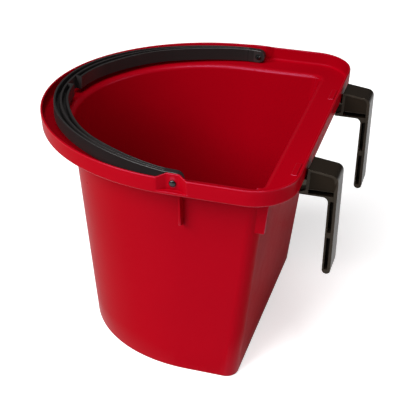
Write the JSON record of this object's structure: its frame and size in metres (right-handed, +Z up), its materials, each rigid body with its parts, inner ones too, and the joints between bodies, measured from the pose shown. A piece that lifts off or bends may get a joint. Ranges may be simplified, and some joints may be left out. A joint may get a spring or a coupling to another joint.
{
  "type": "feed bucket",
  "caption": "D-shaped moulded stable feed bucket with a flat back, a wide rim ledge, a folding bail handle and plug-in over-door hooks.",
  "frame": {"origin": "on the underside of the base, in the middle plane, directly below the widest line of the rim (the handle's axis is 4.1 mm further back)", "axes": "+Z up, +X to the right across the bucket, +Y towards the flat back and its hooks"},
  "size_m": [0.35, 0.3475, 0.2707],
  "materials": {
    "bucket_plastic": "satin-gloss moulded polypropylene with a very fine grain",
    "handle_plastic": "satin moulded nylon",
    "hook_plastic": "satin moulded nylon",
    "pin_plastic": "polished black nylon"
  },
  "bodies": {
    "bucket": {"bucket_body": "bucket_plastic", "pivot_pin_right": "pin_plastic", "pivot_pin_left": "pin_plastic", "door_hook_right": "hook_plastic", "door_hook_left": "hook_plastic"},
    "handle": {"carry_handle": "handle_plastic"}
  },
  "joints": [
    {"name": "handle_swing", "type": "hinge", "parent": "bucket", "child": "handle", "pos_m": [0, 0.0041, 0.2569], "axis": [-1, 0, 0], "range_deg": [-1.9, 170]}
  ]
}
